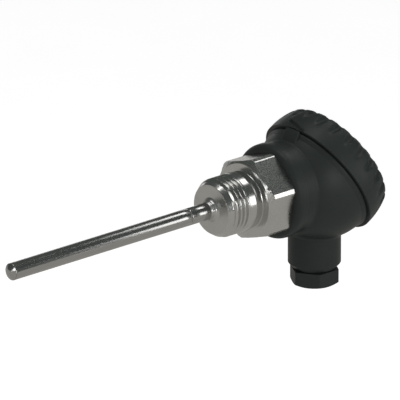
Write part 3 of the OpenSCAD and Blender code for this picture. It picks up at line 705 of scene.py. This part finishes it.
def round_wire(path, radius, sides):
    """A circle carried along a path, square to its tangent, with a closing point at each end."""
    tangent = np.gradient(path, axis=0)
    tangent /= np.linalg.norm(tangent, axis=1, keepdims=True)
    side = np.cross(tangent, [0, 0, 1.0])
    side /= np.linalg.norm(side, axis=1, keepdims=True)
    up = np.cross(side, tangent)
    angle = full_turn(sides)[..., None]
    rows = path[:, None] + radius * (np.cos(angle) * side[:, None] + np.sin(angle) * up[:, None])
    ends = np.repeat(path[[0, -1], None], sides, axis=1)
    return np.concatenate([ends[:1], rows, ends[1:]])


wire_rows = round_wire(smooth_path(LEAD_ROUTE, 6), LEAD_R, 20)
for number, (side_y, side_z) in enumerate([(1, 1), (-1, 1), (-1, -1), (1, -1)], 1):
    add_piece(f"lead_{number}", wire_rows * [1, side_y, side_z], "housing", "lead_insulation",
              ["connection_leads"], closed=False)

# %% [markdown]
# ## Building materials from small parts
# Every finish here is a shader with a few patterns on it. Nodes could be placed by hand in the editor,
# but with helpers each finish takes only a few lines. They take plain numbers and other nodes' outputs
# alike. Patterns read the Object coordinates, which are metres in this model.


# %% Node helpers
def link(tree, source, target):
    """Joins an output socket to an input socket. A plain value is written into the input instead."""
    if isinstance(source, bpy.types.NodeSocket):
        tree.links.new(source, target)
    else:
        target.default_value = source


def add_node(tree, kind, **values):
    """A node with its inputs set. An underscore in a name stands for a space. Returns its outputs."""
    node = tree.nodes.new(kind)
    for name, source in values.items():
        link(tree, source, node.inputs[name.replace("_", " ")])
    return node.outputs


def add_math(tree, operation, first, second=0.5, kind="ShaderNodeMath", output="Value"):
    """A Math node on two numbers, or a Vector Math node on two vectors. Returns the named output."""
    node = tree.nodes.new(kind)
    node.operation = operation
    link(tree, first, node.inputs[0])
    link(tree, second, node.inputs[1])
    return node.outputs[output]


def add_range(tree, value, low, high, to_low, to_high):
    """A clamped Map Range node: low to high becomes to_low to to_high. Returns its output."""
    return add_node(tree, "ShaderNodeMapRange", Value=value, From_Min=low, From_Max=high,
                    To_Min=to_low, To_Max=to_high)[0]


def add_noise(tree, place, scale, detail):
    """Noise between 0 and 1, with its middle at 0.5. Returns its output."""
    return add_node(tree, "ShaderNodeTexNoise", Vector=place, Scale=scale, Detail=detail)[0]


def mix_colour(tree, factor, first, second):
    """Colour between two by a factor. Each is three numbers or a colour output. Returns its output."""
    node = tree.nodes.new("ShaderNodeMix")
    node.data_type = "RGBA"
    link(tree, factor, node.inputs["Factor"])
    for name, colour in (("A", first), ("B", second)):
        link(tree, (*colour, 1) if isinstance(colour, tuple) else colour, node.inputs[name])
    return node.outputs["Result"]


def add_split(tree, vector):
    """A vector's three parts, as the outputs X, Y and Z."""
    return add_node(tree, "ShaderNodeSeparateXYZ", Vector=vector)


def object_place(tree):
    """The place on the object, in metres along its three axes."""
    return add_node(tree, "ShaderNodeTexCoord")["Object"]


print("node helpers ready")

# %% [markdown]
# ## Grain, lathe rings and scratches
# The patterns that several materials share are node groups, so a change to one reaches them all. Grain
# is noise on coordinates that may be stretched along one axis, as on a drawn tube. Lathe rings are
# noise on two numbers only, the place along the probe and the distance from it, so they run round a
# cylinder and lie as circles on an end face. A scratch is where such noise passes through its middle.


# %% Shared pattern groups
def new_group(name, inputs):
    """A node group with named inputs (name, kind, start value) and one output, Value."""
    group = bpy.data.node_groups.new(name, "ShaderNodeTree")
    for label, kind, value in inputs:
        group.interface.new_socket(label, in_out="INPUT", socket_type=kind).default_value = value
    group.interface.new_socket("Value", in_out="OUTPUT", socket_type="NodeSocketFloat")
    given = group.nodes.new("NodeGroupInput").outputs
    return group, given, group.nodes.new("NodeGroupOutput").inputs["Value"]


def place_group(tree, group, **values):
    """Puts a group into a material or another group with its own values, and returns its output."""
    node = tree.nodes.new("ShaderNodeGroup")
    node.node_tree = group
    for name, value in values.items():
        link(tree, value, node.inputs[name])
    return node.outputs["Value"]


SCALE, STRETCH = ("Scale", "NodeSocketFloat", 500.0), ("Stretch", "NodeSocketVector", (1, 1, 1))
grain_group, given, wanted = new_group("grain", [SCALE, STRETCH, ("Detail", "NodeSocketFloat", 4.0)])
stretched = add_math(grain_group, "MULTIPLY", object_place(grain_group), given["Stretch"],
                     "ShaderNodeVectorMath", "Vector")
link(grain_group, add_noise(grain_group, stretched, given["Scale"], given["Detail"]), wanted)

rings_group, given, wanted = new_group("lathe_rings", [SCALE])
place = add_split(rings_group, object_place(rings_group))
squares = [add_math(rings_group, "MULTIPLY", place[name], place[name]) for name in "YZ"]
across = add_math(rings_group, "SQRT", add_math(rings_group, "ADD", *squares))
joined = add_node(rings_group, "ShaderNodeCombineXYZ", X=place["X"], Y=across)[0]
link(rings_group, add_noise(rings_group, joined, given["Scale"], 2.0), wanted)

scratch_group, given, wanted = new_group("scratches", [SCALE, STRETCH, ("Width", "NodeSocketFloat", 0.01)])
waves = place_group(scratch_group, grain_group, Scale=given["Scale"], Stretch=given["Stretch"], Detail=1.5)
from_middle = add_math(scratch_group, "ABSOLUTE", add_math(scratch_group, "SUBTRACT", waves, 0.5))
link(scratch_group, add_range(scratch_group, from_middle, 0.0, given["Width"], 1.0, 0.0), wanted)
print("groups:", [group.name for group in bpy.data.node_groups])

# %% [markdown]
# ## A material from a recipe
# All finishes share one skeleton: two colours mixed by a pattern, a roughness between two values, and a
# bump. What differs is the pattern that drives each of them, so a finish is a short recipe that wires
# its own patterns into the same shader.


# %% Material skeleton
def new_material(name, metallic, specular=0.5):
    """A material with its shader, and the two constants that hold for the whole surface."""
    material = bpy.data.materials.new(name)
    material.use_nodes = True
    tree = material.node_tree
    shader = tree.nodes["Principled BSDF"].inputs
    shader["Metallic"].default_value = metallic
    shader["Specular IOR Level"].default_value = specular
    return material, tree, shader


def set_bump(tree, shader, height, depth_mm, strength):
    """Bump normal from a height between 0 and 1 that stands for depth_mm."""
    bump = add_node(tree, "ShaderNodeBump", Height=height, Distance=depth_mm * MM, Strength=strength)
    link(tree, bump["Normal"], shader["Normal"])


print("skeleton ready")

# %% [markdown]
# ## Steel of the tube
# A drawn tube has faint lines along it, and handling leaves fine scratches the same way. Both change the
# roughness more than the shape, so the highlight breaks up into streaks.

# %% Tube steel
sheath_steel, tree, shader = new_material("sheath_steel", 1.0)
streaks = place_group(tree, grain_group, Scale=900.0, Stretch=(0.04, 1, 1), Detail=1.5)
clouds = place_group(tree, grain_group, Scale=120.0, Stretch=(0.4, 1, 1), Detail=3.0)
lines = place_group(tree, scratch_group, Scale=450.0, Stretch=(0.06, 1, 1), Width=0.012)
satin = add_range(tree, streaks, 0.3, 0.7, 0.16, 0.24)
link(tree, mix_colour(tree, clouds, (0.46, 0.455, 0.445), (0.53, 0.525, 0.515)), shader["Base Color"])
link(tree, add_math(tree, "ADD", satin, add_math(tree, "MULTIPLY", lines, 0.10)), shader["Roughness"])
set_bump(tree, shader, add_math(tree, "SUBTRACT", streaks, lines), 0.001, 0.12)
print(sheath_steel.name)

# %% [markdown]
# ## Steel of the fitting
# Three tools made this piece. Thread and neck are turned and bright, the end face shows the circles of
# facing, and the hexagon's flats are milled and matt with a speckled skin. Three materials would need
# the mesh split by face. The place along the probe tells as well which tool was at work.

# %% Fitting steel
fitting_steel, tree, shader = new_material("fitting_steel", 1.0)
along_probe = add_split(tree, object_place(tree))["X"]
hexagon_mask = add_range(tree, along_probe, -0.1 * MM, 0.1 * MM, 0.0, 1.0)
face_mask = add_range(tree, along_probe, (face_x + 0.01) * MM, (face_x + 0.15) * MM, 1.0, 0.0)
rings = place_group(tree, rings_group, Scale=9000.0)
speckle = place_group(tree, grain_group, Scale=3600.0, Detail=3.0)
clouds = place_group(tree, grain_group, Scale=160.0)
turned = add_range(tree, rings, 0.3, 0.7, 0.16, 0.25)
milled = add_math(tree, "MULTIPLY", hexagon_mask, add_range(tree, speckle, 0.3, 0.7, 0.02, 0.10))
faced = add_math(tree, "MULTIPLY", face_mask, 0.16)
rough_skin = add_math(tree, "MULTIPLY", speckle, add_math(tree, "MULTIPLY", hexagon_mask, 3.5))
link(tree, mix_colour(tree, clouds, (0.57, 0.565, 0.55), (0.67, 0.665, 0.65)), shader["Base Color"])
link(tree, add_math(tree, "ADD", turned, add_math(tree, "ADD", milled, faced)), shader["Roughness"])
set_bump(tree, shader, add_math(tree, "ADD", rings, rough_skin), 0.004, 0.5)
print(fitting_steel.name)

# %% [markdown]
# ## Black moulded plastic
# The head is moulded in a spark-eroded mould, which gives it a fine, even texture. Polishing from hands
# makes some places a little smoother than others. The texture is too fine to model, so it's a bump.

# %% Head plastic
head_plastic, tree, shader = new_material("head_plastic", 0.0, 0.16)
texture = place_group(tree, grain_group, Scale=3200.0, Detail=2.0)
clouds = place_group(tree, grain_group, Scale=90.0)
link(tree, mix_colour(tree, clouds, (0.021, 0.0255, 0.024), (0.027, 0.032, 0.0305)), shader["Base Color"])
link(tree, add_range(tree, clouds, 0.3, 0.7, 0.36, 0.47), shader["Roughness"])
set_bump(tree, shader, texture, 0.02, 0.5)
print(head_plastic.name)

# %% [markdown]
# ## Finishes inside the head
# Ceramic, brass, plated steel, rubber, resin and wire insulation come into sight once the lid is off.
# They need less care than the outside, so each is one line in a table of recipes.


# %% Inner finishes
def plain_finish(name, metallic, dark, light, rough, scale, bump_mm, specular=0.5):
    """Colour and roughness from one cloudy grain, bump from one that is twelve times finer."""
    material, tree, shader = new_material(name, metallic, specular)
    broad = place_group(tree, grain_group, Scale=scale)
    link(tree, mix_colour(tree, broad, dark, light), shader["Base Color"])
    link(tree, add_range(tree, broad, 0.3, 0.7, *rough), shader["Roughness"])
    set_bump(tree, shader, place_group(tree, grain_group, Scale=scale * 12, Detail=2.0), bump_mm, 0.6)
    return material


# Name, metallic, dark and light colour, range of roughness, grain per metre, bump in mm, specular level
RECIPES = [
    ("rubber", 0.0, (0.014, 0.014, 0.014), (0.028, 0.028, 0.027), (0.62, 0.8), 250, 0.03, 0.3),
    ("ceramic", 0.0, (0.70, 0.66, 0.57), (0.80, 0.77, 0.69), (0.28, 0.42), 180, 0.01),
    ("brass", 1.0, (0.66, 0.50, 0.23), (0.78, 0.62, 0.33), (0.20, 0.34), 300, 0.006),
    ("contact_steel", 1.0, (0.55, 0.55, 0.55), (0.68, 0.68, 0.67), (0.2, 0.34), 300, 0.006),
    ("resin", 0.0, (0.03, 0.026, 0.022), (0.07, 0.06, 0.05), (0.15, 0.3), 200, 0.01),
    ("red_insulation", 0.0, (0.42, 0.03, 0.025), (0.56, 0.06, 0.045), (0.38, 0.52), 220, 0.01),
    ("white_insulation", 0.0, (0.68, 0.67, 0.63), (0.80, 0.79, 0.76), (0.38, 0.52), 220, 0.01)]
finishes = {recipe[0]: plain_finish(*recipe) for recipe in RECIPES}
finishes.update(sheath_steel=sheath_steel, fitting_steel=fitting_steel, head_plastic=head_plastic)
print("finishes:", sorted(finishes))

# %% [markdown]
# ## Giving every piece its finish
# The visible pieces carry their slot's name already. The solids that are shown as they are get theirs
# from a table of which piece is made of what. The wires share one slot but come in two colours.

# %% Assign the finishes
SOLIDS = {
    "fitting_gasket": "rubber", "lid_seal": "rubber", "gland_seal": "rubber",
    "sensing_element": "ceramic", "wire_insulator": "ceramic", "terminal_base": "ceramic",
    "sensor_wires": "contact_steel", "wire_ferrules": "contact_steel", "fixing_screws": "contact_steel",
    "gland_slip_ring": "contact_steel", "resin_plug": "resin", "terminal_posts": "brass"}
SOLIDS.update({f"clamp_saddle_{i}": "contact_steel" for i in range(1, 5)})
SOLIDS.update({f"terminal_screw_{i}": "brass" for i in range(1, 5)})
WIRES = {f"lead_{i}": "red_insulation" if i < 3 else "white_insulation" for i in range(1, 5)}


def wear(piece, finish):
    """The piece shows this finish and no other."""
    piece.data.materials.clear()
    piece.data.materials.append(finishes[finish])


for node_name, finish in SOLIDS.items():
    wear(frame["nodes"][node_name], finish)
    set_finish(frame["nodes"][node_name], finish)
for piece in bpy.context.scene.objects:
    if piece.name in WIRES:
        wear(piece, WIRES[piece.name])
    elif piece.get("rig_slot") in finishes and piece.name not in SOLIDS:
        wear(piece, piece["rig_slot"])
print("dressed solids:", len(SOLIDS))

# %% [markdown]
# ## The floor
# The object stands before white. Brighter lamps would whiten the floor but bleach the object. So the
# floor is pale paper that gives off a little light of its own towards the camera: it comes out white
# and still keeps the object's shadow. In reflections it's a quiet grey, because polished metal shows
# its surroundings more than itself.

# %% Floor
ROOM_LOW = (0.42, 0.41, 0.385)
FLOOR_GLOW = (0.53, 0.53, 0.53)
FLOOR_HALF = 6
FLOOR_Z = -0.12
floor_mesh = bpy.data.meshes.new("floor")
corners = [(x * FLOOR_HALF, y * FLOOR_HALF, FLOOR_Z) for x, y in ((-1, -1), (1, -1), (1, 1), (-1, 1))]
floor_mesh.from_pydata(corners, [], [(0, 1, 2, 3)])
floor = new_object("floor", floor_mesh)


def glow(tree, colour):
    """An Emission shader in this colour. Returns its output."""
    return add_node(tree, "ShaderNodeEmission", Color=(*colour, 1))[0]


def join_shaders(tree, kind, *sources):
    """A Mix Shader (factor, first, second) or an Add Shader (first, second). Returns its output."""
    node = tree.nodes.new(kind)
    for source, socket in zip(sources, node.inputs):
        link(tree, source, socket)
    return node.outputs[0]


def ray_kinds(tree):
    """Two outputs: 1 for rays that come from the camera or through glass, and 1 for reflected rays."""
    kinds = add_node(tree, "ShaderNodeLightPath")
    seen = add_math(tree, "MAXIMUM", kinds["Is Camera Ray"], kinds["Is Transmission Ray"])
    return seen, kinds["Is Glossy Ray"]


floor_paper, tree, shader = new_material("floor_paper", 0.0, 0.1)
grain = place_group(tree, grain_group, Scale=30.0, Detail=3.0)
link(tree, mix_colour(tree, grain, (0.78, 0.78, 0.78), (0.82, 0.82, 0.82)), shader["Base Color"])
link(tree, 0.9, shader["Roughness"])
seen, reflected = ray_kinds(tree)
paper = tree.nodes["Principled BSDF"].outputs[0]
bright_paper = join_shaders(tree, "ShaderNodeAddShader", paper, glow(tree, FLOOR_GLOW))
surface = join_shaders(tree, "ShaderNodeMixShader", reflected, paper, glow(tree, ROOM_LOW))
surface = join_shaders(tree, "ShaderNodeMixShader", seen, surface, bright_paper)
link(tree, surface, tree.nodes["Material Output"].inputs["Surface"])
floor_mesh.materials.append(floor_paper)
print("floor at mm:", round(FLOOR_Z / MM))

# %% [markdown]
# ## The room
# The world does three jobs. The camera sees it white. Reflections see a dim room with a pale lower part
# and a white field behind the object, which draws bright lines along the steel's far edges. All other
# rays get an even, soft light. An image of a room could do that too, but a few ranges need no file.

# %% Room
ROOM_DIM = (0.075, 0.085, 0.08)
WHITE = (1.0, 1.0, 1.0)
ROOM_FILL = (0.5, 0.5, 0.5)
BEHIND = (0.6755, 0.7373, 0.0)
world = bpy.data.worlds.new("room")
bpy.context.scene.world = world
world.use_nodes = True
tree = world.node_tree
tree.nodes.clear()
direction = add_node(tree, "ShaderNodeTexCoord")["Generated"]
height = add_split(tree, direction)["Z"]
facing = add_math(tree, "DOT_PRODUCT", direction, BEHIND, "ShaderNodeVectorMath")
low_part = add_range(tree, height, 0.02, -0.12, 0.0, 1.0)
between = add_math(tree, "MULTIPLY", add_range(tree, height, 0.20, 0.12, 0.0, 1.0),
                   add_range(tree, height, -0.48, -0.40, 0.0, 1.0))
behind = add_math(tree, "MULTIPLY", add_range(tree, facing, 0.60, 0.72, 0.0, 1.0), between)
room = mix_colour(tree, behind, mix_colour(tree, low_part, ROOM_DIM, ROOM_LOW), WHITE)

seen, reflected = ray_kinds(tree)
lit = mix_colour(tree, reflected, ROOM_FILL, room)
background = add_node(tree, "ShaderNodeBackground", Color=mix_colour(tree, seen, lit, WHITE))[0]
add_node(tree, "ShaderNodeOutputWorld", Surface=background)
print("room nodes:", len(tree.nodes))

# %% [markdown]
# ## The lamps
# Two small softboxes close by on the right put the bright bands on thread, neck and hexagon. A large
# one in front and one high above light the whole object. One far to the left lights what looks along
# the tube, such as the fitting's end face. They are areas, because polished metal shows a lamp's shape.


# %% Lamps
def softbox(name, place_mm, aim_mm, width_mm, height_mm, radiance):
    """A rectangular lamp. Its power is radiance * pi * area, so its brightness doesn't depend on its size."""
    data = bpy.data.lights.new(name, "AREA")
    data.shape = "RECTANGLE"
    data.size = width_mm * MM
    data.size_y = height_mm * MM
    data.energy = radiance * math.pi * data.size * data.size_y
    lamp = new_object(name, data)
    place = np.array(place_mm, float)
    forward = np.array(aim_mm, float) - place
    forward /= np.linalg.norm(forward)
    right = np.cross(forward, [0, 0, 1.0])
    right /= np.linalg.norm(right)
    turned = np.column_stack([right, np.cross(right, forward), -forward])
    lamp.matrix_world = Matrix.Translation(place * MM) @ Matrix(turned.tolist()).to_4x4()
    lamp.visible_camera = False


THREAD_AIM, HEAD_AIM, TUBE_AIM = (-8, 0, 0), (34, 0, 0), (-15, 0, 0)
softbox("strip_above", (124, 10, 163), THREAD_AIM, 68, 64, 2.6)
softbox("strip_front", (111, -146, 34), THREAD_AIM, 60, 80, 2.6)
softbox("key", (-50, -430, 112), HEAD_AIM, 170, 170, 5.0)
softbox("top", (-26, 66, 594), HEAD_AIM, 240, 240, 3.4)
softbox("left", (-480, -34, 93), TUBE_AIM, 120, 120, 3.0)
print("lamps:", [lamp.name for lamp in bpy.data.lights])
